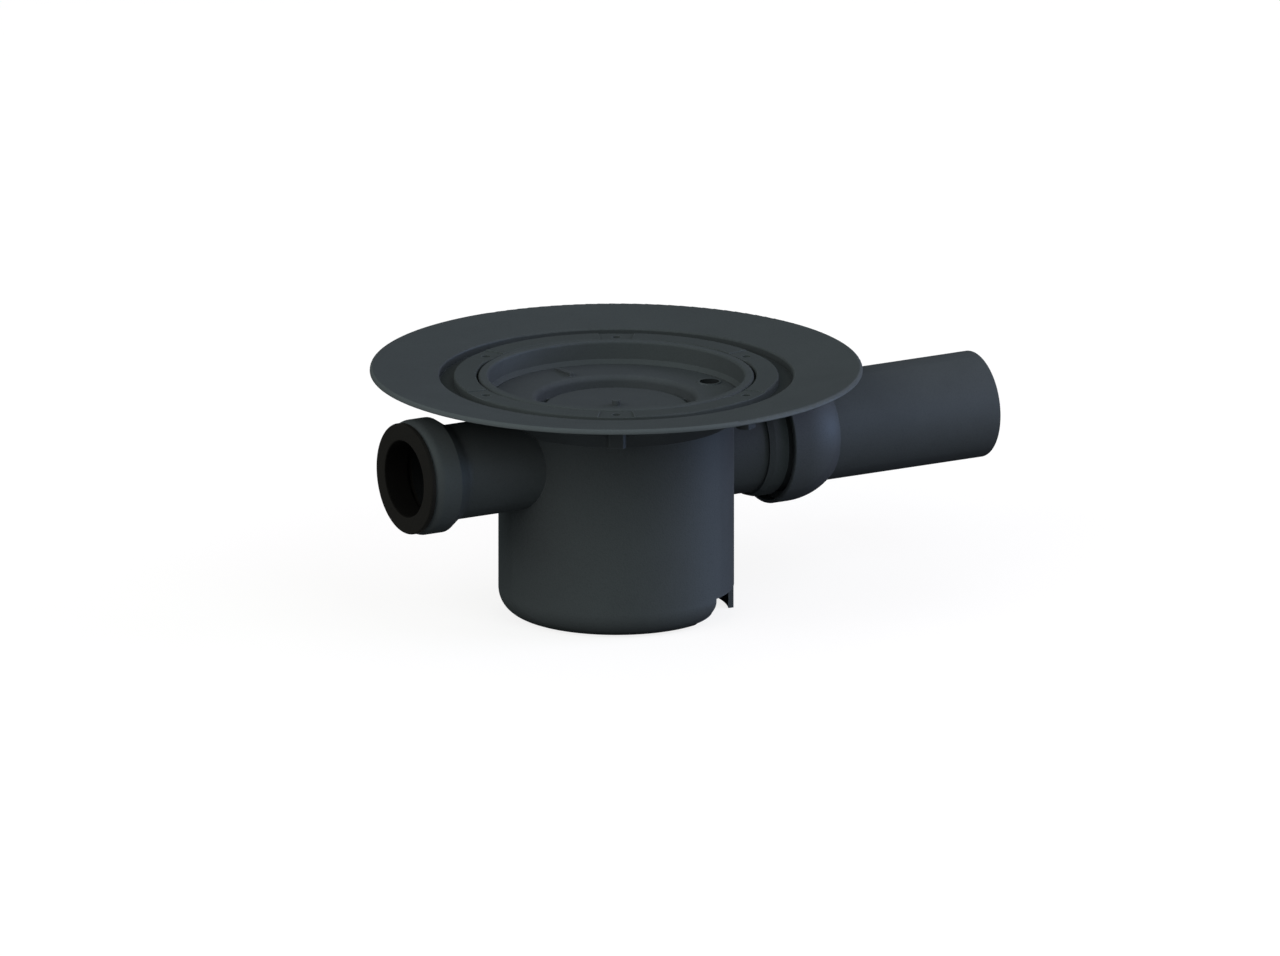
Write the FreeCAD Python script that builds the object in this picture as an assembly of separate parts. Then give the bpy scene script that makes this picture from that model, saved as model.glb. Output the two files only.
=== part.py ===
# Floor drain body with a side inlet and a swivelling outlet.
# Millimetres. The origin is the centre of the pot's flat base, +Z is up and the outlet points along +X.

import FreeCAD
import Part
import math
import os

Vector = FreeCAD.Vector
up = Vector(0, 0, 1)
along = Vector(1, 0, 0)

# Pot
body_height = 118.0
pot_radius = 55.0
pot_wall = 3.0
pot_round = 12.0

# Flange, dished towards the channel
flange_radius = 115.0
flange_thickness = 2.5
flange_fall = 4.0
flange_edge_round = 1.6
flange_under_round = 0.4

# Channel round the opening and its upstand
channel_radius = 82.6
channel_depth = 4.0
channel_wall = 2.0
channel_round = 0.9
upstand_radius = 64.3
upstand_round = 1.1

# Bowl and the ledge that carries the tray
opening_radius = 59.8
opening_depth = 8.5
ledge_radius = 58.4
ledge_depth = 14.0
bowl_wall = 2.4

# Recess in the lower edge of the pot, on the outlet side, and the foot that stands in it
recess_depth = 10.0
recess_side = 6.6
recess_start = 16.0
recess_height = 13.2
foot_half_width = 22.8
foot_thickness = 2.5

# Clamping ring, its screw holes and the bosses below them
ring_inner_radius = 65.3
ring_outer_radius = 75.8
ring_thickness = 3.8
ring_edge_round = 0.7
screw_count = 6
screw_circle_radius = 70.0
screw_hole_radius = 2.1
screw_pocket_depth = 0.5
screw_pocket_half_angle = 6.5
boss_radius = 4.6
boss_length = 10.4
boss_reach = 3.3
boss_web = 2.4
pilot_radius = 1.6
pilot_depth = 8.5

# Dip wall in front of the outlet
riser_half_angle = 45.0
riser_clearance = 0.8
dip_wall = 2.5
dip_gap = 8.5

# Side inlet, its socket and its rubber seal
inlet_drop = 35.3
inlet_radius = 22.3
inlet_bore_radius = 18.5
inlet_stop = 70.0
inlet_pipe_radius = 20.0
inlet_pipe_clearance = 0.4
socket_radius = 27.2
socket_cone_start = 91.0
socket_start = 98.5
socket_end = 112.0
socket_root_round = 6.0
socket_edge_round = 0.4
socket_mouth_round = 4.8
socket_lip_gap = 1.2
socket_lip_length = 3.5
seal_groove_radius = 23.8
seal_clearance = 0.2
seal_bore_radius = 18.0
seal_lip_length = 12.0
seal_flange_radius = 26.2
seal_flange_thickness = 2.3
seal_round = 0.8

# Outlet stub, collar and ball
outlet_drop = 40.0
stub_radius = 25.3
stub_bore_radius = 22.5
collar_start = 67.6
collar_radius = 27.6
collar_chamfer = 2.8
collar_face = 1.4
ball_centre = 88.0
ball_radius = 27.0
ball_length = 12.0
ball_clearance = 0.3

# Outlet pipe with its bell
bell_radius = 32.0
bell_mouth = 9.8
bell_collar_gap = 0.9
bell_skirt = 1.6
bell_wall = 2.8
bell_dome_shift = 1.5
bell_edge_round = 0.8
spigot_radius = 25.0
spigot_bore_radius = 23.0
spigot_end = 192.6

# Ring and rubber seal that hold the ball in the bell
retainer_length = 3.8
retainer_seat = 1.0
ball_seal_length = 7.0
outlet_swing = 7.5

# Tray in the bowl
tray_clearance = 0.3
tray_thickness = 2.2
tray_edge_round = 0.6
gasket_thickness = 1.2
gasket_width = 2.2
gasket_inset = 0.6
well_gap = 2.3
well_wall = 2.2
well_round = 2.6
well_depth = 8.9
slot_width = 3.5
disc_depth = 4.6
disc_thickness = 2.0
disc_round = 0.7
web_count = 6
web_width = 2.4
web_reach = 9.0
peg_radius = 2.0
peg_height = 3.0
peg_round = 0.4
grip_angles = (90.0, 270.0)
grip_gap = 4.0
grip_margin = 3.1
grip_height = 1.8
grip_thickness = 2.4

# Rodding hole in the tray and the rubber plug in it
rodding_margin = 2.4
rodding_radius = 4.5
rodding_collar = 1.0
rodding_collar_height = 0.5
plug_clearance = 0.1
plug_recess = 1.6
plug_bead = 0.5
plug_bead_length = 1.8
plug_pocket_depth = 2.6
plug_pocket_clearance = 0.4

# Overlap of pieces that are moulded together, and how far the branches run in past the pot's inner wall
bite = 0.5
branch_overlap = 8.0

# Heights and places worked out from the sizes above
deck = body_height - flange_fall
channel_floor = deck - channel_depth
channel_under = channel_floor - channel_wall
ledge = deck - ledge_depth
inlet_height = deck - inlet_drop
outlet_height = deck - outlet_drop
pot_inner_radius = pot_radius - pot_wall
recess_radius = pot_radius - recess_depth
recess_half_width = pot_radius - recess_side
riser_floor = recess_height + pot_wall
branch_root = pot_inner_radius - branch_overlap
bowl_outer_radius = opening_radius + bowl_wall
boss_bottom = channel_under - boss_length
collar_end = ball_centre - bell_mouth - bell_collar_gap
bell_bore_radius = bell_radius - bell_skirt
bell_seat_radius = bell_radius - bell_wall
socket_radius_inside = inlet_pipe_radius + inlet_pipe_clearance
socket_lip_radius = socket_radius_inside + socket_lip_gap
seal_groove_end = socket_end - socket_lip_length
tray_under = ledge + gasket_thickness
tray_top = tray_under + tray_thickness
tray_radius = ledge_radius - tray_clearance
disc_top = tray_top - disc_depth
disc_under = disc_top - disc_thickness
well_bottom = tray_top - well_depth
gasket_radius = ledge_radius - gasket_inset
plug_pocket_radius = rodding_radius + plug_bead + plug_pocket_clearance
rodding_place = tray_radius - rodding_margin - rodding_collar - rodding_radius
riser_radius = rodding_place - plug_pocket_radius - riser_clearance
well_radius = riser_radius - dip_wall - well_gap - well_wall
disc_radius = well_radius - slot_width
grip_start = well_radius + grip_gap


def corner_edge(before, corner, after, radius):
    """The round of one corner of an outline: its first point, middle point and last point."""
    back = (before - corner).normalize()
    ahead = (after - corner).normalize()
    half_turn = back.getAngle(ahead) / 2
    reach = radius / math.tan(half_turn)
    inward = (back + ahead).normalize()
    centre = corner + inward * (radius / math.sin(half_turn))
    return corner + back * reach, centre - inward * radius, corner + ahead * reach


def outline_face(corners):
    """Flat face in the XZ plane. A corner is (x, z) or (x, z, radius of its round)."""
    points = [Vector(corner[0], 0, corner[1]) for corner in corners]
    rounds = [corner[2] if len(corner) > 2 else 0 for corner in corners]
    stops = []
    edges = []
    for i, point in enumerate(points):
        if rounds[i] > 0:
            after = points[(i + 1) % len(points)]
            first, middle, last = corner_edge(points[i - 1], point, after, rounds[i])
            edges.append(Part.Arc(first, middle, last).toShape())
            stops.append((first, last))
        else:
            stops.append((point, point))
    for i, stop in enumerate(stops):
        edges.append(Part.makeLine(stop[1], stops[(i + 1) % len(stops)][0]))
    return Part.Face(Part.Wire(Part.__sortEdges__(edges)))


def turned(corners):
    """Solid turned about the upright axis from corners given as (radius, height)."""
    return outline_face(corners).revolve(Vector(0, 0, 0), up, 360)


def turned_along(height, corners):
    """Solid turned about a level axis along X at a height, from corners given as (x, radius)."""
    lifted = [(corner[0], corner[1] + height) + tuple(corner[2:]) for corner in corners]
    return outline_face(lifted).revolve(Vector(0, 0, height), along, 360)


def upright(radius, bottom, top, x=0.0, y=0.0):
    """Upright cylinder."""
    return Part.makeCylinder(radius, top - bottom, Vector(x, y, bottom), up)


def level(radius, start, end, height):
    """Cylinder along X."""
    return Part.makeCylinder(radius, end - start, Vector(start, 0, height), along)


def washer(inner, outer, bottom, top):
    """Upright ring with a square section."""
    return upright(outer, bottom, top).cut(upright(inner, bottom, top))


def wedge(tip, half_angle, bottom, top):
    """Prism that opens from a tip on the X axis towards the outlet, well past the pot."""
    reach = 2 * flange_radius
    spread = reach * math.tan(math.radians(half_angle))
    corners = [Vector(tip, 0, bottom), Vector(tip + reach, -spread, bottom), Vector(tip + reach, spread, bottom)]
    return Part.Face(Part.makePolygon(corners + corners[:1])).extrude(up * (top - bottom))


def block(start, end, half_width, bottom, top):
    """Box from one place along X to another, set evenly about the X axis."""
    return Part.makeBox(end - start, 2 * half_width, top - bottom, Vector(start, -half_width, bottom))


def spokes(shape, count):
    """Copies of a shape set evenly about the upright axis."""
    copies = []
    for i in range(count):
        copy = shape.copy()
        copy.rotate(Vector(0, 0, 0), up, i * 360.0 / count)
        copies.append(copy)
    return copies


def fused(shapes):
    """One clean solid from overlapping shapes."""
    return shapes[0].fuse(shapes[1:]).removeSplitter()


def save(name, shape):
    shape.exportStep("parts/" + name + ".step")


def pot_and_flange():
    """The turned outside of the moulding, filled in."""
    flange_under = deck - flange_thickness
    channel_outside = channel_radius + channel_wall
    cone_top = ledge + bite
    cone_bottom = cone_top - (bowl_outer_radius - pot_radius)
    return turned([
        (0, 0),
        (pot_radius, 0, pot_round),
        (pot_radius, cone_bottom),
        (bowl_outer_radius, cone_top),
        (bowl_outer_radius, channel_under),
        (channel_outside, channel_under, channel_round),
        (channel_outside, flange_under),
        (flange_radius, body_height - flange_thickness, flange_under_round),
        (flange_radius, body_height, flange_edge_round),
        (channel_radius, deck, channel_round),
        (channel_radius, channel_floor),
        (upstand_radius, channel_floor),
        (upstand_radius, deck, upstand_round),
        (0, deck)])


def pot_recess():
    """Room below the outlet side of the pot, behind and beside the foot."""
    ring = washer(recess_radius, pot_radius + bite, -bite, recess_height)
    return ring.cut(foot()).common(block(recess_start, pot_radius, recess_half_width, -bite, recess_height))


def pot_space():
    """The inside of the bowl and the pot, with a raised floor above the recess."""
    above = body_height
    space = turned([
        (0, pot_wall),
        (pot_inner_radius, pot_wall, pot_round - pot_wall),
        (pot_inner_radius, ledge),
        (ledge_radius, ledge),
        (ledge_radius, tray_top),
        (opening_radius, deck - opening_depth),
        (opening_radius, deck, upstand_round),
        (upstand_radius, deck),
        (upstand_radius, above),
        (0, above)])
    shelf = washer(recess_radius - pot_wall, pot_inner_radius + bite, 0, riser_floor)
    return space.cut(shelf.common(block(recess_start - pot_wall, pot_radius, pot_radius, 0, riser_floor)))


def foot():
    """Skirt that carries the pot wall down to the base on the outlet side."""
    top = recess_height + bite
    skirt = washer(pot_radius - foot_thickness, pot_radius, 0, top)
    return skirt.common(block(0, pot_radius, foot_half_width, 0, top))


def screw_bosses():
    """Bosses under the channel, each tied to the bowl by a web."""
    top = channel_floor - bite
    boss = upright(boss_radius, boss_bottom, top, screw_circle_radius)
    boss = boss.common(upright(screw_circle_radius + boss_reach, boss_bottom, top))
    web_start = bowl_outer_radius - bowl_wall / 2
    web_size = (screw_circle_radius - web_start, boss_web, top - boss_bottom - boss_web)
    web = Part.makeBox(*web_size, Vector(web_start, -boss_web / 2, boss_bottom + boss_web))
    return spokes(boss.fuse(web), screw_count)


def screw_pilots():
    """Blind holes in the bosses."""
    pilot = upright(pilot_radius, channel_floor - pilot_depth, deck, screw_circle_radius)
    return spokes(pilot, screw_count)


def inlet_branch():
    """The side inlet and its socket, filled in."""
    return turned_along(inlet_height, [
        (-branch_root, 0),
        (-branch_root, inlet_radius),
        (-socket_cone_start, inlet_radius, socket_root_round),
        (-socket_start, socket_radius, socket_edge_round),
        (-socket_end, socket_radius, socket_mouth_round),
        (-socket_end, 0)])


def inlet_space():
    """The inlet bore, the room for the pipe, the groove of the seal and the mouth."""
    return turned_along(inlet_height, [
        (-branch_root, 0),
        (-branch_root, inlet_bore_radius),
        (-inlet_stop, inlet_bore_radius),
        (-inlet_stop, socket_radius_inside),
        (-socket_start, socket_radius_inside),
        (-socket_start, seal_groove_radius),
        (-seal_groove_end, seal_groove_radius),
        (-seal_groove_end, socket_lip_radius),
        (-socket_end, socket_lip_radius),
        (-socket_end, 0)])


def outlet_stub():
    """The stub, its collar and the ball on its end, filled in."""
    collar_face_radius = stub_radius + collar_face
    collar = turned_along(outlet_height, [
        (collar_start, 0),
        (collar_start, collar_face_radius),
        (collar_start + collar_chamfer, collar_radius),
        (collar_end, collar_radius),
        (collar_end, 0)])
    stub = level(stub_radius, branch_root, collar_end, outlet_height)
    ball = Part.makeSphere(ball_radius, Vector(ball_centre, 0, outlet_height))
    ball_slab = level(bell_radius, collar_end - bite, ball_centre + ball_length, outlet_height)
    return [stub, collar, ball.common(ball_slab)]


def trap_outline(outer_radius, bottom, top):
    """Wall round the riser in front of the outlet, open towards the pot wall."""
    shift = dip_wall / math.sin(math.radians(riser_half_angle))
    walls = washer(riser_radius - dip_wall, outer_radius, bottom, top)
    walls = walls.common(wedge(-shift, riser_half_angle, bottom, top))
    riser = washer(riser_radius, outer_radius, bottom, top)
    return walls.cut(riser.common(wedge(0, riser_half_angle, bottom, top)))


def drain_body():
    """One moulding: flange, channel, bowl, pot, foot, bosses, branches, ball and dip wall."""
    outside = fused([pot_and_flange(), inlet_branch()] + outlet_stub() + screw_bosses())
    outlet_bore = level(stub_bore_radius, branch_root, ball_centre + bell_radius, outlet_height)
    plug_pocket = upright(plug_pocket_radius, ledge - plug_pocket_depth, ledge, rodding_place)
    spaces = [pot_space(), pot_recess(), inlet_space(), outlet_bore, plug_pocket]
    hollow = outside.cut(spaces + screw_pilots())
    dip = trap_outline(pot_inner_radius + bite, riser_floor + dip_gap, ledge)
    return fused([hollow, foot(), dip])


def clamping_ring():
    """Flat ring with a shallow pocket round each screw hole."""
    bottom = channel_floor
    top = channel_floor + ring_thickness
    ring = turned([
        (ring_inner_radius, bottom),
        (ring_outer_radius, bottom),
        (ring_outer_radius, top, ring_edge_round),
        (ring_inner_radius, top, ring_edge_round)])
    pocket = wedge(0, screw_pocket_half_angle, top - screw_pocket_depth, top + bite)
    hole = upright(screw_hole_radius, bottom, top, screw_circle_radius)
    return ring.cut(spokes(pocket, screw_count) + spokes(hole, screw_count))


def inlet_seal():
    """Rubber ring that snaps into the socket, with a flange over its mouth and a plain lip."""
    outside = seal_groove_radius - seal_clearance
    neck = socket_lip_radius - seal_clearance
    face = -socket_end - seal_flange_thickness
    lip_end = face + seal_lip_length
    relief = socket_radius_inside
    return turned_along(inlet_height, [
        (face, seal_bore_radius, seal_round),
        (face, seal_flange_radius, seal_round),
        (-socket_end, seal_flange_radius),
        (-socket_end, neck),
        (-seal_groove_end, neck),
        (-seal_groove_end, outside),
        (-socket_start, outside),
        (-socket_start, relief),
        (lip_end + relief - seal_bore_radius, relief),
        (lip_end, seal_bore_radius)])


def tray_plate():
    """Plate with a round-edged well that is open below."""
    return turned([
        (tray_radius, tray_under),
        (tray_radius, tray_top, tray_edge_round),
        (well_radius, tray_top, well_round),
        (well_radius, well_bottom),
        (well_radius + well_wall, well_bottom),
        (well_radius + well_wall, tray_under)])


def tray_disc():
    """Disc in the well, with a small peg on its middle."""
    peg_top = disc_top + peg_height
    return turned([
        (0, disc_under),
        (disc_radius, disc_under),
        (disc_radius, disc_top, disc_round),
        (peg_radius, disc_top),
        (peg_radius, peg_top, peg_round),
        (0, peg_top)])


def tray_webs():
    """Bars below the disc that tie it to the wall of the well."""
    start = disc_radius - web_reach
    size = (well_radius + well_wall / 2 - start, web_width, disc_under + bite - well_bottom)
    return spokes(Part.makeBox(*size, Vector(start, -web_width / 2, well_bottom)), web_count)


def tray_grips():
    """Low ribs for lifting the tray, sloped down towards its edge."""
    outer = tray_radius - grip_margin
    face = outline_face([
        (grip_start, tray_top - bite),
        (outer, tray_top - bite),
        (outer, tray_top + grip_height / 2),
        (grip_start, tray_top + grip_height)])
    rib = face.extrude(Vector(0, grip_thickness, 0))
    rib.translate(Vector(0, -grip_thickness / 2, 0))
    grips = []
    for angle in grip_angles:
        grip = rib.copy()
        grip.rotate(Vector(0, 0, 0), up, angle)
        grips.append(grip)
    return grips


def inlet_tray():
    """Removable tray: floor water runs through the ring gap between the well and the disc."""
    collar_radius_outside = rodding_radius + rodding_collar
    collar_top = tray_top + rodding_collar_height
    collar = upright(collar_radius_outside, tray_top - bite, collar_top, rodding_place)
    solid = fused([tray_plate(), tray_disc(), collar] + tray_webs() + tray_grips())
    return solid.cut(upright(rodding_radius, tray_under, collar_top, rodding_place))


def tray_gasket():
    """Flat rubber gasket on the ledge and along the top of the dip wall."""
    ring = washer(gasket_radius - gasket_width, gasket_radius, ledge, tray_under)
    return fused([ring, trap_outline(gasket_radius, ledge, tray_under)])


def rodding_plug():
    """Rubber plug with a bead below the tray."""
    stem = rodding_radius - plug_clearance
    bead = rodding_radius + plug_bead
    plug_top = tray_top - plug_recess
    plug = turned([
        (0, tray_under - plug_bead_length),
        (stem, tray_under - plug_bead_length),
        (bead, tray_under - plug_bead_length / 2),
        (bead, tray_under),
        (stem, tray_under),
        (stem, plug_top),
        (0, plug_top)])
    plug.translate(Vector(rodding_place, 0, 0))
    return plug


def outlet_pipe():
    """Bell that turns on the ball, and the plain spigot for the drain line."""
    mouth = ball_centre - bell_mouth
    centre = Vector(ball_centre, 0, outlet_height)
    shoulder = ball_centre - retainer_seat
    dome_centre = ball_centre - bell_dome_shift
    end = ball_centre + bell_radius
    skirt = turned_along(outlet_height, [
        (mouth, 0),
        (mouth, bell_radius, bell_edge_round),
        (dome_centre, bell_radius),
        (dome_centre, 0)])
    dome = Part.makeSphere(bell_radius, Vector(dome_centre, 0, outlet_height))
    dome = dome.common(level(bell_radius, dome_centre, end, outlet_height))
    spigot = level(spigot_radius, ball_centre, spigot_end, outlet_height)
    skirt_bore = level(bell_bore_radius, mouth, shoulder, outlet_height)
    seat = Part.makeSphere(bell_seat_radius, centre)
    seat = seat.common(level(bell_radius, shoulder, end, outlet_height))
    bore = level(spigot_bore_radius, ball_centre, spigot_end, outlet_height)
    return fused([skirt, dome, spigot]).cut([skirt_bore, seat, bore])


def ball_cone(start, end):
    """Radii at both ends of a cone that clears the ball, for two places along X from its centre."""
    middle = (start + end) / 2
    radius = math.sqrt((ball_radius + ball_clearance) ** 2 - middle ** 2)
    lean = middle / radius * (end - start) / 2
    return radius + lean, radius - lean


def retaining_ring():
    """Ring in the mouth of the bell that grips the ball from behind."""
    end = -retainer_seat
    start = end - retainer_length
    outside = bell_bore_radius - ball_clearance
    start_radius, end_radius = ball_cone(start, end)
    return turned_along(outlet_height, [
        (ball_centre + start, start_radius),
        (ball_centre + start, outside),
        (ball_centre + end, outside),
        (ball_centre + end, end_radius)])


def ball_seal():
    """Rubber ring between the ball and the bell, clear of the retaining ring when that tilts."""
    start = bell_seat_radius * math.sin(math.radians(outlet_swing))
    end = start + ball_seal_length
    seat = bell_seat_radius - ball_clearance
    start_radius, end_radius = ball_cone(start, end)
    return turned_along(outlet_height, [
        (ball_centre + start, start_radius),
        (ball_centre + start, math.sqrt(seat ** 2 - start ** 2)),
        (ball_centre + end, math.sqrt(seat ** 2 - end ** 2)),
        (ball_centre + end, end_radius)])


def main():
    os.makedirs("parts", exist_ok=True)
    save("drain_body", drain_body())
    save("clamping_ring", clamping_ring())
    save("inlet_tray", inlet_tray())
    save("tray_gasket", tray_gasket())
    save("rodding_plug", rodding_plug())
    save("inlet_seal", inlet_seal())
    save("ball_seal", ball_seal())
    save("retaining_ring", retaining_ring())
    save("outlet_pipe", outlet_pipe())


main()
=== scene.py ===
import math

import bpy
from bpy.props import FloatProperty, FloatVectorProperty, PointerProperty
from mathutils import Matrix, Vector


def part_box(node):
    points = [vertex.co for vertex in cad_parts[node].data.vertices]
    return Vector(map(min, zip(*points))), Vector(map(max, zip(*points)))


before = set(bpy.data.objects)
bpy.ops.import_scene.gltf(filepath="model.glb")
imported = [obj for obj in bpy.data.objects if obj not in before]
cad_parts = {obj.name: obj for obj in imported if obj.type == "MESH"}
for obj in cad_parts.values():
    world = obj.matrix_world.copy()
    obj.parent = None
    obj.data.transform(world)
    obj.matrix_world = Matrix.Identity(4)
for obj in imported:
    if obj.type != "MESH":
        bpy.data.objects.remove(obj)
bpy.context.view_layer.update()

bl_info = {
    "name": "Floor Drain Finishes",
    "version": (1, 0, 0),
    "blender": (4, 5, 0),
    "location": "3D View > Sidebar > Floor Drain",
    "description": "Plastic and rubber finishes, studio light and camera for the floor drain body",
    "category": "Object",
}

black = (0.0, 0.0, 0.0, 1.0)
white = (1.0, 1.0, 1.0, 1.0)

# How many times lighter rubbed-bare edges and the painted highlight on the flange's rim are, how dark the
# pores are and how much they show
wear_and_highlight_gain = 2.6
pore_gain = 0.70
pore_share = 0.18

# How far the plastic's roughness moves with the tone drift, and how much smoother streaks and edges are
drift_spread = 0.08
streak_polish = 0.07
wear_polish = 0.10

# How much smoother the clamping ring and the tray are than the drain body
ring_polish = 0.03
tray_polish = 0.02

# How much of the bloom shows on the rubber, and how far the roughness moves with it
bloom_share = 0.30
bloom_spread = 0.14

# Patches of the tone drift per metre
body_flow = 9.0
ring_flow = 12.0
tray_flow = 14.0
outlet_flow = 11.0
rubber_flow = 45.0
floor_flow = 1.5

# How far the floor's tone drifts, and how rough it is
floor_drift = 0.02
floor_roughness = 0.9

# Over what share of its size a shade fades out: the inlet's bore, the rodding hole and the channel
bore_fade = 0.01
hole_fade = 0.04
channel_fade = 0.125

# Between which shares of the seal's distance from the drain's axis the inlet's branch gives way to the pot
branch_shares = (1.0 / 2.0, 1.0 / 2.2)

# Which coordinates measure the distance from an upright axis, and from a level one along X
upright = (1.0, 1.0, 0.0)
level = (0.0, 1.0, 1.0)

# Each lamp's name, its bearing to the right of the camera's side and its height above the horizon, in degrees
lamps = (
    ("key", -35.0, 31.0),
    ("fill", 35.0, 38.0),
    ("left", -75.0, 28.0),
    ("right", 95.0, 20.0),
    ("back", 170.0, 35.0),
    ("sheen", 102.0, 4.0),
)

# Distance of the camera from the point that it looks at, in metres
camera_distance = 2.0


# Properties


def colour_property(name, description, default):
    return FloatVectorProperty(name=name, description=description, default=default, size=3, subtype="COLOR",
                               min=0.0, max=1.0)


def share_property(name, description, default):
    return FloatProperty(name=name, description=description, default=default, subtype="FACTOR",
                         min=0.0, max=1.0)


def length_property(name, description, default):
    return FloatProperty(name=name, description=description, default=default, unit="LENGTH",
                         min=0.0, precision=5)


def offset_property(name, description, default):
    return FloatProperty(name=name, description=description, default=default, unit="LENGTH",
                         precision=5)


def angle_property(name, description, degrees):
    return FloatProperty(name=name, description=description, default=math.radians(degrees), subtype="ANGLE",
                         unit="ROTATION")


def power_property(name, description, default):
    return FloatProperty(name=name, description=description, default=default, min=0.0, unit="POWER")


class PlasticFinish(bpy.types.PropertyGroup):
    """Dark slate moulded plastic."""
    body_colour: colour_property("Body", "Colour of the drain body", (0.050, 0.0595, 0.0625))
    ring_colour: colour_property("Clamping ring", "Colour of the clamping ring", (0.046, 0.055, 0.057))
    tray_colour: colour_property("Tray", "Colour of the tray in the bowl", (0.052, 0.061, 0.066))
    outlet_colour: colour_property("Outlet", "Colour of the outlet pipe and its ring", (0.051, 0.060, 0.065))
    drift: share_property("Tone drift", "How far the tone drifts over a piece", 0.045)
    roughness: share_property("Roughness", "Roughness of a plain moulded face", 0.56)
    shine: share_property("Shine", "Strength of the reflection on the plastic at a low angle", 0.0)
    satin: share_property("Satin", "Strength of the soft reflection on faces that look at the viewer", 0.06)
    grain_size: length_property("Grain size", "Size of the moulded grain", 0.0007)
    grain_depth: length_property("Grain depth", "Depth of the moulded grain", 0.00004)
    edge_width: length_property("Edge width", "Width of the polish along the edges", 0.0010)
    edge_polish: share_property("Edge polish", "How much lighter the edges are rubbed", 0.45)
    # Painted highlight on the flange's rim: its width and how much lighter it is painted
    rim_width: length_property("Rim width", "Width of the rubbed rim of the flange", 0.0016)
    rim_highlight: share_property("Rim polish", "How much lighter the rim of the flange is rubbed", 0.26)
    # Painted shade in the channel beside the clamping ring: its width and how dark it is painted
    channel_width: length_property("Channel width", "Width of the channel beside the clamping ring", 0.0068)
    channel_shade: share_property("Channel shade", "How much duller the channel is", 0.24)
    # Painted shade in the bore of the inlet's branch: its radius and how dark it is painted
    bore_radius: length_property("Bore radius", "Radius within which the inlet's branch is dull", 0.0212)
    bore_shade: share_property("Bore shade", "How much duller the bore of the inlet's branch is", 0.80)
    # Painted shade on the rodding hole's wall: the hole's radius and how dark the wall is painted
    hole_radius: length_property("Hole radius", "Radius of the rodding hole in the tray", 0.0045)
    hole_shade: share_property("Hole shade", "How far the plug has blackened the rodding hole's wall", 0.72)


class RubberFinish(bpy.types.PropertyGroup):
    """Black rubber of the seals."""
    colour: colour_property("Rubber", "Colour of the seals", (0.0106, 0.0108, 0.0098))
    bloom_colour: colour_property("Bloom", "Colour of the grey bloom on the rubber", (0.019, 0.0185, 0.0170))
    roughness: share_property("Roughness", "Roughness of the rubber", 0.62)
    shine: share_property("Shine", "Strength of the reflection on the rubber", 0.006)
    # Painted shade in the bore of the inlet seal: its radius and how dark it is painted
    bore_radius: length_property("Bore radius", "Radius of the bore of the inlet seal", 0.0183)
    bore_shade: share_property("Bore shade", "How much duller the bore of the inlet seal is", 0.60)
    grain_size: length_property("Grain size", "Size of the matt grain", 0.0005)
    grain_depth: length_property("Grain depth", "Depth of the matt grain", 0.00003)


class StageSettings(bpy.types.PropertyGroup):
    """Floor, light and camera."""
    azimuth: angle_property("Azimuth", "Camera's turn about the drain", -30.0)
    elevation: angle_property("Elevation", "Camera's height above the horizon", 15.0)
    view_width: length_property("View width", "Width of the picture", 0.597)
    view_right: offset_property("View right", "How far the picture's centre lies right of the axis", 0.0111)
    view_down: offset_property("View down", "How far the picture's centre lies below the flange rim", 0.05205)
    floor_colour: colour_property("Floor", "Share of the light that the floor sends back", (0.22, 0.22, 0.22))
    floor_white: share_property("Floor white", "How white the floor looks where no lamp reaches it", 0.82)
    floor_size: length_property("Floor size", "Width of the floor", 8.0)
    sky: FloatProperty(name="Sky", description="Strength of the even light from all round", min=0.0,
                       default=0.34)
    key: power_property("Key light", "Power of the light on the left front", 36.0)
    fill: power_property("Fill light", "Power of the light on the right front", 28.0)
    left: power_property("Left light", "Power of the light on the left", 25.0)
    right: power_property("Right light", "Power of the light on the right", 64.0)
    back: power_property("Back light", "Power of the light behind", 16.0)
    sheen: power_property("Sheen light", "Power of the low lamp that shows only as a highlight", 440.0)
    key_colour: colour_property("Key colour", "Colour of the light on the left front", (1.0, 0.92, 0.86))
    fill_colour: colour_property("Fill colour", "Colour of the light on the right front", (0.81, 0.97, 1.0))
    left_colour: colour_property("Left colour", "Colour of the light on the left", (0.93, 1.0, 0.98))
    right_colour: colour_property("Right colour", "Colour of the light on the right", (0.82, 0.74, 1.0))
    back_colour: colour_property("Back colour", "Colour of the light behind", (1.0, 0.93, 0.80))
    sheen_colour: colour_property("Sheen colour", "Colour of the highlight", (0.50, 0.64, 1.0))
    lamp_distance: length_property("Lamp distance", "Distance of the lamps from the drain", 3.2)
    lamp_size: length_property("Lamp size", "Width of the lamps", 2.0)
    sheen_width: length_property("Sheen width", "Width of the low lamp of the highlight", 1.2)
    sheen_height: length_property("Sheen height", "Height of the low lamp of the highlight", 0.4)


class DrainSettings(bpy.types.PropertyGroup):
    """All the settings of the floor drain."""
    plastic: PointerProperty(type=PlasticFinish)
    rubber: PointerProperty(type=RubberFinish)
    stage: PointerProperty(type=StageSettings)


# Node helpers


def feed(tree, socket, value):
    """Links an input to another node's output, or sets its value."""
    if isinstance(value, bpy.types.NodeSocket):
        tree.links.new(value, socket)
    else:
        socket.default_value = value


def add_node(tree, kind, inputs=None, **settings):
    """New node with its settings, and its inputs by name or number."""
    node = tree.nodes.new(kind)
    for name, value in settings.items():
        setattr(node, name, value)
    for name, value in (inputs or {}).items():
        feed(tree, node.inputs[name], value)
    return node


def math_node(tree, operation, first, second):
    return add_node(tree, "ShaderNodeMath", {0: first, 1: second}, operation=operation).outputs[0]


def vector_node(tree, operation, *values):
    return add_node(tree, "ShaderNodeVectorMath", dict(enumerate(values)), operation=operation).outputs


def coordinate(tree, place, axis):
    return add_node(tree, "ShaderNodeSeparateXYZ", {"Vector": place}).outputs[axis]


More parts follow.
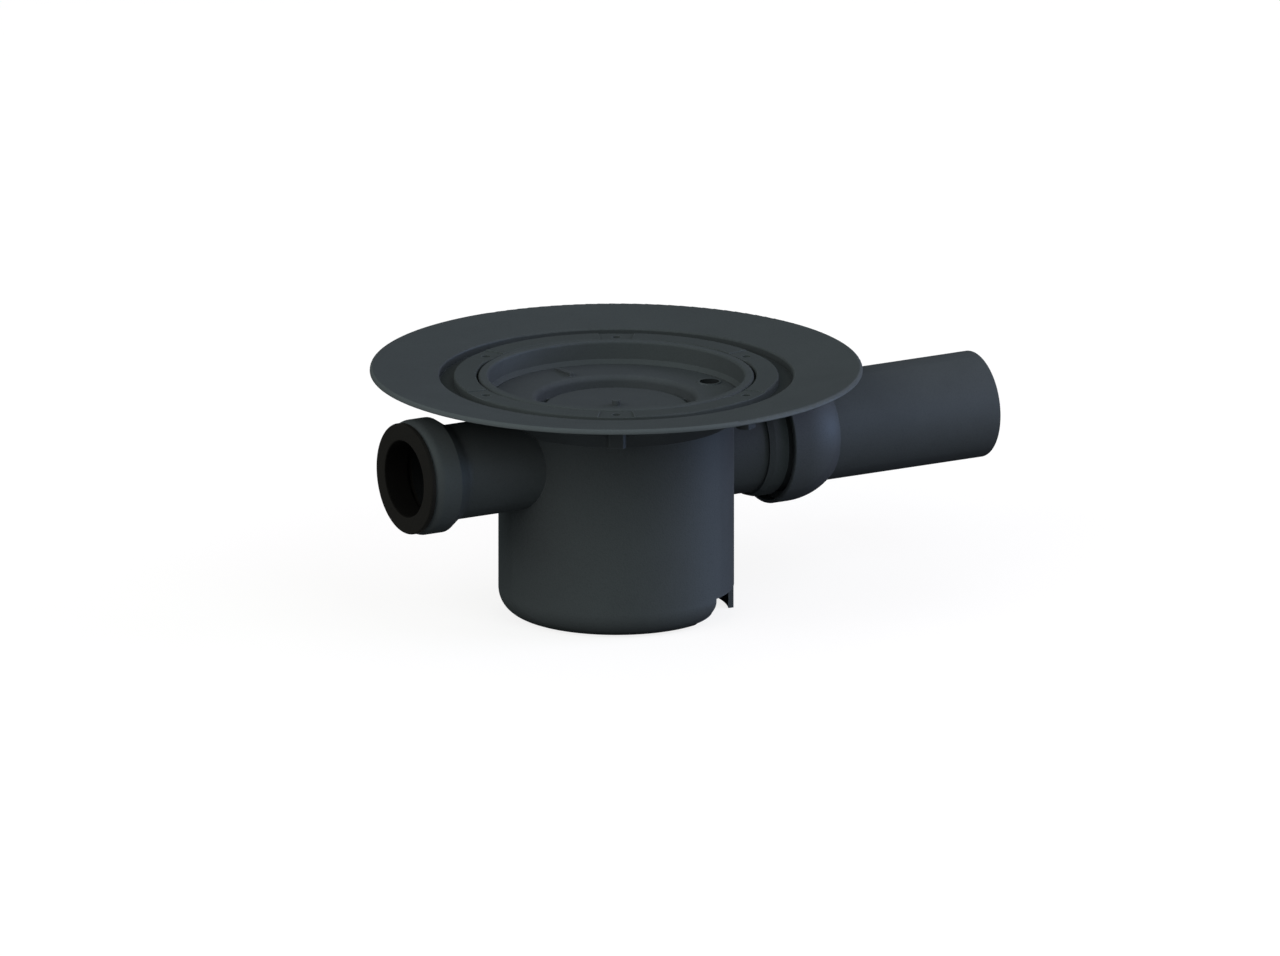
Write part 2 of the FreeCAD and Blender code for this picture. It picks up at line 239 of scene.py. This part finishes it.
def colour_mix(tree, share, first, second):
    """Blend of two colours. The sockets share their names with those of other kinds of mix."""
    node = add_node(tree, "ShaderNodeMix", data_type="RGBA")
    sockets = {socket.identifier: socket for socket in node.inputs}
    feed(tree, sockets["Factor_Float"], share)
    feed(tree, sockets["A_Color"], first)
    feed(tree, sockets["B_Color"], second)
    return next(socket for socket in node.outputs if socket.identifier == "Result_Color")


def ramp_node(tree, value, low, high, out_low=0.0, out_high=1.0):
    """Value eased from one range to another."""
    inputs = {"Value": value, "From Min": low, "From Max": high, "To Min": out_low, "To Max": out_high}
    return add_node(tree, "ShaderNodeMapRange", inputs, interpolation_type="SMOOTHSTEP").outputs["Result"]


def noise_node(tree, place, scale, detail, roughness):
    inputs = {"Vector": place, "Scale": scale, "Detail": detail, "Roughness": roughness}
    return add_node(tree, "ShaderNodeTexNoise", inputs).outputs["Fac"]


def new_group(name, vectors, values, outputs):
    """Empty shader group with named sockets, and the sockets to read and to fill inside it."""
    tree = bpy.data.node_groups.new(name, "ShaderNodeTree")
    for socket in vectors:
        tree.interface.new_socket(socket, in_out="INPUT", socket_type="NodeSocketVector")
    for socket in values:
        tree.interface.new_socket(socket, in_out="INPUT", socket_type="NodeSocketFloat")
    for socket in outputs:
        tree.interface.new_socket(socket, in_out="OUTPUT", socket_type="NodeSocketFloat")
    return tree, tree.nodes.new("NodeGroupInput").outputs, tree.nodes.new("NodeGroupOutput").inputs


# Shared effects


def moulded_grain_group():
    """Fine spark-eroded grain of a mould: pebbles with softer hollows between them."""
    pebble_softness = 0.6
    pebble_depth = 0.55
    hollow_scale = 0.45
    pore_range = (0.45, 0.75)
    tree, given, result = new_group("moulded grain", ("Place",), ("Grain Scale",), ("Height", "Pores"))
    place = given["Place"]
    scale = given["Grain Scale"]
    cells = {"Vector": place, "Scale": scale, "Smoothness": pebble_softness}
    pebbles = add_node(tree, "ShaderNodeTexVoronoi", cells, feature="SMOOTH_F1").outputs["Distance"]
    wide = math_node(tree, "MULTIPLY", scale, hollow_scale)
    hollows = noise_node(tree, place, wide, detail=3.0, roughness=0.6)
    height = math_node(tree, "SUBTRACT", hollows, math_node(tree, "MULTIPLY", pebbles, pebble_depth))
    tree.links.new(height, result["Height"])
    tree.links.new(ramp_node(tree, pebbles, *pore_range), result["Pores"])
    return tree


def tone_drift_group():
    """Slow drift of tone, as melt flow leaves it in a moulding, with a finer mottle."""
    slow_share = 0.75
    fine_share = 0.25
    fine_scale = 9.0
    drift_range = (0.32, 0.68)
    tree, given, result = new_group("tone drift", ("Place",), ("Flow Scale",), ("Drift",))
    place = given["Place"]
    scale = given["Flow Scale"]
    close = math_node(tree, "MULTIPLY", scale, fine_scale)
    slow = noise_node(tree, place, scale, detail=3.0, roughness=0.55)
    fine = noise_node(tree, place, close, detail=2.0, roughness=0.5)
    slow = math_node(tree, "MULTIPLY", slow, slow_share)
    fine = math_node(tree, "MULTIPLY", fine, fine_share)
    both = math_node(tree, "ADD", slow, fine)
    tree.links.new(ramp_node(tree, both, *drift_range), result["Drift"])
    return tree


def edge_wear_group():
    """Mask of the edges, broken up so that the polish isn't even."""
    turn_range = (0.02, 0.22)
    break_scale = 90.0
    break_range = (0.30, 0.70)
    least_wear = 0.35
    tree, given, result = new_group("edge wear", ("Place",), ("Edge Width",), ("Wear",))
    rounded = add_node(tree, "ShaderNodeBevel", {"Radius": given["Edge Width"]}, samples=4).outputs["Normal"]
    plain = tree.nodes.new("ShaderNodeNewGeometry").outputs["Normal"]
    along = vector_node(tree, "DOT_PRODUCT", rounded, plain)["Value"]
    edge = ramp_node(tree, math_node(tree, "SUBTRACT", 1.0, along), *turn_range)
    noise = noise_node(tree, given["Place"], break_scale, detail=3.0, roughness=0.6)
    broken = ramp_node(tree, noise, *break_range, least_wear, 1.0)
    tree.links.new(math_node(tree, "MULTIPLY", edge, broken), result["Wear"])
    return tree


def handling_group():
    """Faint rubbed streaks, in patches, that change the gloss."""
    streak_turn = (0.4, 0.2, 0.7)
    streak_scale = (30.0, 210.0, 160.0)
    streak_range = (0.52, 0.74)
    patch_scale = 14.0
    patch_range = (0.45, 0.62)
    tree, given, result = new_group("handling marks", ("Place",), (), ("Streaks",))
    place = given["Place"]
    mapping = {"Vector": place, "Rotation": streak_turn, "Scale": streak_scale}
    turned = add_node(tree, "ShaderNodeMapping", mapping).outputs["Vector"]
    streaks = noise_node(tree, turned, 1.0, detail=3.0, roughness=0.6)
    patches = noise_node(tree, place, patch_scale, detail=2.0, roughness=0.5)
    streaks = ramp_node(tree, streaks, *streak_range)
    patches = ramp_node(tree, patches, *patch_range)
    tree.links.new(math_node(tree, "MULTIPLY", streaks, patches), result["Streaks"])
    return tree


def axis_distance_group():
    """Distance from an axis, measured in the two directions across it."""
    tree, given, result = new_group("axis distance", ("Place", "Axis", "Across"), (), ("Distance",))
    offset = vector_node(tree, "SUBTRACT", given["Place"], given["Axis"])["Vector"]
    across = vector_node(tree, "MULTIPLY", offset, given["Across"])["Vector"]
    tree.links.new(vector_node(tree, "LENGTH", across)["Value"], result["Distance"])
    return tree


effects = {
    "moulded grain": moulded_grain_group,
    "tone drift": tone_drift_group,
    "edge wear": edge_wear_group,
    "handling marks": handling_group,
    "axis distance": axis_distance_group,
}


def place_effect(tree, name, **values):
    """Shared effect, built on its first use and placed with its own values."""
    group = bpy.data.node_groups.get(name) or effects[name]()
    node = add_node(tree, "ShaderNodeGroup", node_tree=group)
    for socket, value in values.items():
        feed(tree, node.inputs[socket.replace("_", " ").title()], value)
    return node.outputs


# Finishes


def new_material(name):
    material = bpy.data.materials.new(name)
    material.use_nodes = True
    tree = material.node_tree
    shader = tree.nodes["Principled BSDF"]
    place = tree.nodes.new("ShaderNodeTexCoord").outputs["Object"]
    return material, tree, shader, place


def toned(colour, factor=1.0):
    """Opaque colour, made lighter or darker."""
    return (*(min(1.0, channel * factor) for channel in colour), 1.0)


def axis_distance(tree, place, node, across):
    """Distance from the axis through the middle of a CAD node."""
    low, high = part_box(node)
    middle = tuple((low + high) / 2.0)
    return place_effect(tree, "axis distance", place=place, axis=middle, across=across)["Distance"]


def painted_bore_shade(tree, place, tone, finish):
    """Painted shade in the bore of the side inlet, which ends where its branch meets the pot."""
    inner = finish.bore_radius * (1.0 - bore_fade)
    outer = finish.bore_radius * (1.0 + bore_fade)
    distance = axis_distance(tree, place, "inlet_seal", level)
    bore = ramp_node(tree, distance, inner, outer, finish.bore_shade, 0.0)
    start, end = (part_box("inlet_seal")[0].x * share for share in branch_shares)
    branch = ramp_node(tree, coordinate(tree, place, "X"), start, end, 1.0, 0.0)
    return colour_mix(tree, math_node(tree, "MULTIPLY", bore, branch), tone, black)


def painted_rim_highlight(tree, distance, tone, colour, finish):
    """Painted highlight on the rim of the flange."""
    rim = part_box("drain_body")[1].y
    start = rim - finish.rim_width
    end = rim - finish.rim_width / 2.0
    # The rim's lighter band is a painted highlight, not wear
    rubbed = ramp_node(tree, distance, start, end, 0.0, finish.rim_highlight)
    return colour_mix(tree, rubbed, tone, toned(colour, wear_and_highlight_gain))


def painted_channel_shade(tree, place, distance, tone, finish):
    """Painted shade in the channel between the clamping ring and the flange."""
    low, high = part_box("clamping_ring")
    fade = finish.channel_width * channel_fade
    outer = high.y + finish.channel_width
    height = coordinate(tree, place, "Z")
    shade = ramp_node(tree, distance, high.y - fade, high.y, 0.0, finish.channel_shade)
    for limit in (ramp_node(tree, distance, outer, outer + fade, 1.0, 0.0),
                  ramp_node(tree, height, high.z - fade, high.z, 1.0, 0.0),
                  ramp_node(tree, height, low.z - 2.0 * fade, low.z - fade)):
        shade = math_node(tree, "MULTIPLY", shade, limit)
    return colour_mix(tree, shade, tone, black)


def painted_body_light(tree, place, tone, colour, finish):
    """Painted highlight on the rim of the flange, and painted shade in the channel beside the clamping ring
    and in the bore of the inlet.
    """
    distance = axis_distance(tree, place, "clamping_ring", upright)
    tone = painted_rim_highlight(tree, distance, tone, colour, finish)
    tone = painted_channel_shade(tree, place, distance, tone, finish)
    return painted_bore_shade(tree, place, tone, finish)


def painted_hole_shade(tree, place, tone, colour, finish):
    """Painted shade on the wall of the rodding hole."""
    radius = finish.hole_radius
    distance = axis_distance(tree, place, "rodding_plug", upright)
    hole = ramp_node(tree, distance, radius, radius * (1.0 + hole_fade), finish.hole_shade, 0.0)
    return colour_mix(tree, hole, tone, black)


def add_bump(tree, shader, height, depth):
    bump = add_node(tree, "ShaderNodeBump", {"Height": height, "Distance": depth, "Strength": 1.0})
    tree.links.new(bump.outputs["Normal"], shader.inputs["Normal"])


def plastic_material(name, colour, finish, flow, polish=0.0, marks=None):
    """Satin moulded plastic: drifting tone, polished edges, grain and faint handling marks, plus the painted
    light and shade that marks adds.
    """
    material, tree, shader, place = new_material(name)
    grain = place_effect(tree, "moulded grain", place=place, grain_scale=1.0 / finish.grain_size)
    drift = place_effect(tree, "tone drift", place=place, flow_scale=flow)["Drift"]
    wear = place_effect(tree, "edge wear", place=place, edge_width=finish.edge_width)["Wear"]
    streaks = place_effect(tree, "handling marks", place=place)["Streaks"]
    tone = colour_mix(tree, drift, toned(colour, 1.0 - finish.drift), toned(colour, 1.0 + finish.drift))
    pores = math_node(tree, "MULTIPLY", grain["Pores"], pore_share)
    tone = colour_mix(tree, pores, tone, toned(colour, pore_gain))
    edges = math_node(tree, "MULTIPLY", wear, finish.edge_polish)
    tone = colour_mix(tree, edges, tone, toned(colour, wear_and_highlight_gain))
    # marks paints highlight and shade into the base colour
    if marks:
        tone = marks(tree, place, tone, colour, finish)
    tree.links.new(tone, shader.inputs["Base Color"])
    shader.inputs["Specular IOR Level"].default_value = finish.shine
    shader.inputs["Metallic"].default_value = finish.satin
    shader.inputs["Specular Tint"].default_value = black
    smoothest = finish.roughness - polish - drift_spread / 2.0
    rough = math_node(tree, "ADD", smoothest, math_node(tree, "MULTIPLY", drift, drift_spread))
    rough = math_node(tree, "SUBTRACT", rough, math_node(tree, "MULTIPLY", streaks, streak_polish))
    rough = math_node(tree, "SUBTRACT", rough, math_node(tree, "MULTIPLY", wear, wear_polish))
    tree.links.new(rough, shader.inputs["Roughness"])
    add_bump(tree, shader, grain["Height"], finish.grain_depth)
    return material


def rubber_material(name, finish):
    """Matt black rubber with a faint grey bloom."""
    material, tree, shader, place = new_material(name)
    grain = place_effect(tree, "moulded grain", place=place, grain_scale=1.0 / finish.grain_size)
    drift = place_effect(tree, "tone drift", place=place, flow_scale=rubber_flow)["Drift"]
    bloom = math_node(tree, "MULTIPLY", drift, bloom_share)
    tone = colour_mix(tree, bloom, toned(finish.colour), toned(finish.bloom_colour))
    # The base colour carries painted shade in the bore of the inlet seal
    tree.links.new(painted_bore_shade(tree, place, tone, finish), shader.inputs["Base Color"])
    shader.inputs["Specular IOR Level"].default_value = finish.shine
    rough = math_node(tree, "ADD", finish.roughness, math_node(tree, "MULTIPLY", drift, bloom_spread))
    tree.links.new(rough, shader.inputs["Roughness"])
    add_bump(tree, shader, grain["Height"], finish.grain_depth)
    return material


def dress(node, material):
    """Gives a CAD node its finish."""
    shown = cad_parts[node]
    if not shown.material_slots:
        raise RuntimeError(node + " has no material slot")
    for slot in shown.material_slots:
        slot.material = material


# Stage


def seen_directly(tree):
    """One for rays from the camera, or that it sees by reflection or through glass."""
    path = tree.nodes.new("ShaderNodeLightPath").outputs
    seen = math_node(tree, "MAXIMUM", path["Is Camera Ray"], path["Is Glossy Ray"])
    return math_node(tree, "MAXIMUM", seen, path["Is Transmission Ray"])


def floor_material(stage):
    """Pale floor that looks white and keeps the drain's shadow."""
    material, tree, shader, place = new_material("pale floor")
    colour = stage.floor_colour
    drift = place_effect(tree, "tone drift", place=place, flow_scale=floor_flow)["Drift"]
    pale = colour_mix(tree, drift, toned(colour, 1.0 - floor_drift), toned(colour, 1.0 + floor_drift))
    tree.links.new(pale, shader.inputs["Base Color"])
    tree.links.new(colour_mix(tree, seen_directly(tree), black, white), shader.inputs["Emission Color"])
    shader.inputs["Emission Strength"].default_value = stage.floor_white
    shader.inputs["Roughness"].default_value = floor_roughness
    shader.inputs["Specular IOR Level"].default_value = 0.0
    return material


def add_floor(stage):
    bpy.ops.object.select_all(action="DESELECT")
    bpy.ops.mesh.primitive_plane_add(size=stage.floor_size, location=(0.0, 0.0, 0.0))
    floor = bpy.context.object
    floor.name = "floor"
    floor.data.materials.append(floor_material(stage))


def white_world(scene, stage):
    """White behind the drain, with a softer light of its own."""
    world = bpy.data.worlds.new("studio white")
    scene.world = world
    world.use_nodes = True
    tree = world.node_tree
    ground = tree.nodes["Background"]
    strength = ramp_node(tree, seen_directly(tree), 0.0, 1.0, stage.sky, 1.0)
    tree.links.new(strength, ground.inputs["Strength"])
    ground.inputs["Color"].default_value = white


def add_lamps(stage, middle, right, away):
    """Soft lamps around the drain. The sheen lamp is a low strip that shows only as a highlight."""
    for name, bearing, height in lamps:
        turn = math.radians(bearing)
        rise = math.radians(height)
        flat = right * math.sin(turn) - away * math.cos(turn)
        toward = flat * math.cos(rise) + Vector((0.0, 0.0, math.sin(rise)))
        bpy.ops.object.light_add(type="AREA", location=middle + toward * stage.lamp_distance)
        lamp = bpy.context.object
        lamp.name = name + " light"
        lamp.rotation_euler = (-toward).to_track_quat("-Z", "Y").to_euler()
        lamp.data.size = stage.lamp_size
        lamp.data.energy = getattr(stage, name)
        lamp.data.color = getattr(stage, name + "_colour")
        if name == "sheen":
            lamp.data.shape = "RECTANGLE"
            lamp.data.size = stage.sheen_width
            lamp.data.size_y = stage.sheen_height
            lamp.visible_diffuse = False


def add_camera(scene, stage, aim, back):
    """Camera without perspective, at the photograph's angle."""
    bpy.ops.object.camera_add(location=aim + back * camera_distance)
    camera = bpy.context.object
    camera.name = "photo camera"
    camera.data.type = "ORTHO"
    camera.data.ortho_scale = stage.view_width
    camera.rotation_euler = (-back).to_track_quat("-Z", "Y").to_euler()
    scene.camera = camera


# Operators


class DRAIN_OT_body(bpy.types.Operator):
    """Dress the drain body: flange, channel, bowl, pot and branches"""
    bl_idname = "drain.body"
    bl_label = "Drain Body"

    def execute(self, context):
        finish = context.scene.floor_drain.plastic
        material = plastic_material("body slate plastic", finish.body_colour, finish, body_flow,
                                    marks=painted_body_light)
        dress("drain_body", material)
        return {"FINISHED"}


class DRAIN_OT_ring(bpy.types.Operator):
    """Dress the clamping ring"""
    bl_idname = "drain.ring"
    bl_label = "Clamping Ring"

    def execute(self, context):
        finish = context.scene.floor_drain.plastic
        material = plastic_material("ring slate plastic", finish.ring_colour, finish, ring_flow, ring_polish)
        dress("clamping_ring", material)
        return {"FINISHED"}


class DRAIN_OT_tray(bpy.types.Operator):
    """Dress the tray in the bowl"""
    bl_idname = "drain.tray"
    bl_label = "Tray"

    def execute(self, context):
        finish = context.scene.floor_drain.plastic
        material = plastic_material("tray slate plastic", finish.tray_colour, finish, tray_flow, tray_polish,
                                    painted_hole_shade)
        dress("inlet_tray", material)
        return {"FINISHED"}


class DRAIN_OT_outlet(bpy.types.Operator):
    """Dress the outlet pipe and the ring that holds it on the ball"""
    bl_idname = "drain.outlet"
    bl_label = "Outlet"

    def execute(self, context):
        finish = context.scene.floor_drain.plastic
        material = plastic_material("outlet slate plastic", finish.outlet_colour, finish, outlet_flow)
        for node in ("outlet_pipe", "retaining_ring"):
            dress(node, material)
        return {"FINISHED"}


class DRAIN_OT_seals(bpy.types.Operator):
    """Dress the rubber seals, the gasket and the plug"""
    bl_idname = "drain.seals"
    bl_label = "Seals"

    def execute(self, context):
        material = rubber_material("black seal rubber", context.scene.floor_drain.rubber)
        for node in ("inlet_seal", "ball_seal", "tray_gasket", "rodding_plug"):
            dress(node, material)
        return {"FINISHED"}


class DRAIN_OT_stage(bpy.types.Operator):
    """Set up the floor, the studio light and the camera"""
    bl_idname = "drain.stage"
    bl_label = "Stage"

    def execute(self, context):
        scene = context.scene
        stage = scene.floor_drain.stage
        turn = stage.azimuth
        rise = stage.elevation
        right = Vector((math.cos(turn), math.sin(turn), 0.0))
        away = Vector((-math.sin(turn), math.cos(turn), 0.0))
        back = Vector((0.0, 0.0, math.sin(rise))) - away * math.cos(rise)
        up = Vector((0.0, 0.0, math.cos(rise))) + away * math.sin(rise)
        rim = Vector((0.0, 0.0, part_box("drain_body")[1].z))
        add_floor(stage)
        white_world(scene, stage)
        add_lamps(stage, rim / 2.0, right, away)
        add_camera(scene, stage, rim + right * stage.view_right - up * stage.view_down, back)
        scene.view_settings.view_transform = "Standard"
        return {"FINISHED"}


class DRAIN_PT_panel(bpy.types.Panel):
    """Floor drain finishes in the sidebar"""
    bl_idname = "DRAIN_PT_panel"
    bl_label = "Floor Drain"
    bl_space_type = "VIEW_3D"
    bl_region_type = "UI"
    bl_category = "Floor Drain"

    def draw(self, context):
        settings = context.scene.floor_drain
        for title, group in (("Plastic", settings.plastic),
                             ("Rubber", settings.rubber),
                             ("Stage", settings.stage)):
            box = self.layout.box()
            box.label(text=title)
            for name in group.__annotations__:
                box.prop(group, name)
        for operator in operators:
            self.layout.operator(operator.bl_idname)


operators = (DRAIN_OT_body, DRAIN_OT_ring, DRAIN_OT_tray, DRAIN_OT_outlet, DRAIN_OT_seals, DRAIN_OT_stage)
classes = (PlasticFinish, RubberFinish, StageSettings, DrainSettings) + operators + (DRAIN_PT_panel,)


def register():
    for each in classes:
        bpy.utils.register_class(each)
    bpy.types.Scene.floor_drain = PointerProperty(type=DrainSettings)


def unregister():
    del bpy.types.Scene.floor_drain
    for each in reversed(classes):
        bpy.utils.unregister_class(each)


def main():
    register()
    bpy.ops.drain.body()
    bpy.ops.drain.ring()
    bpy.ops.drain.tray()
    bpy.ops.drain.outlet()
    bpy.ops.drain.seals()
    bpy.ops.drain.stage()


if __name__ == "__main__":
    main()
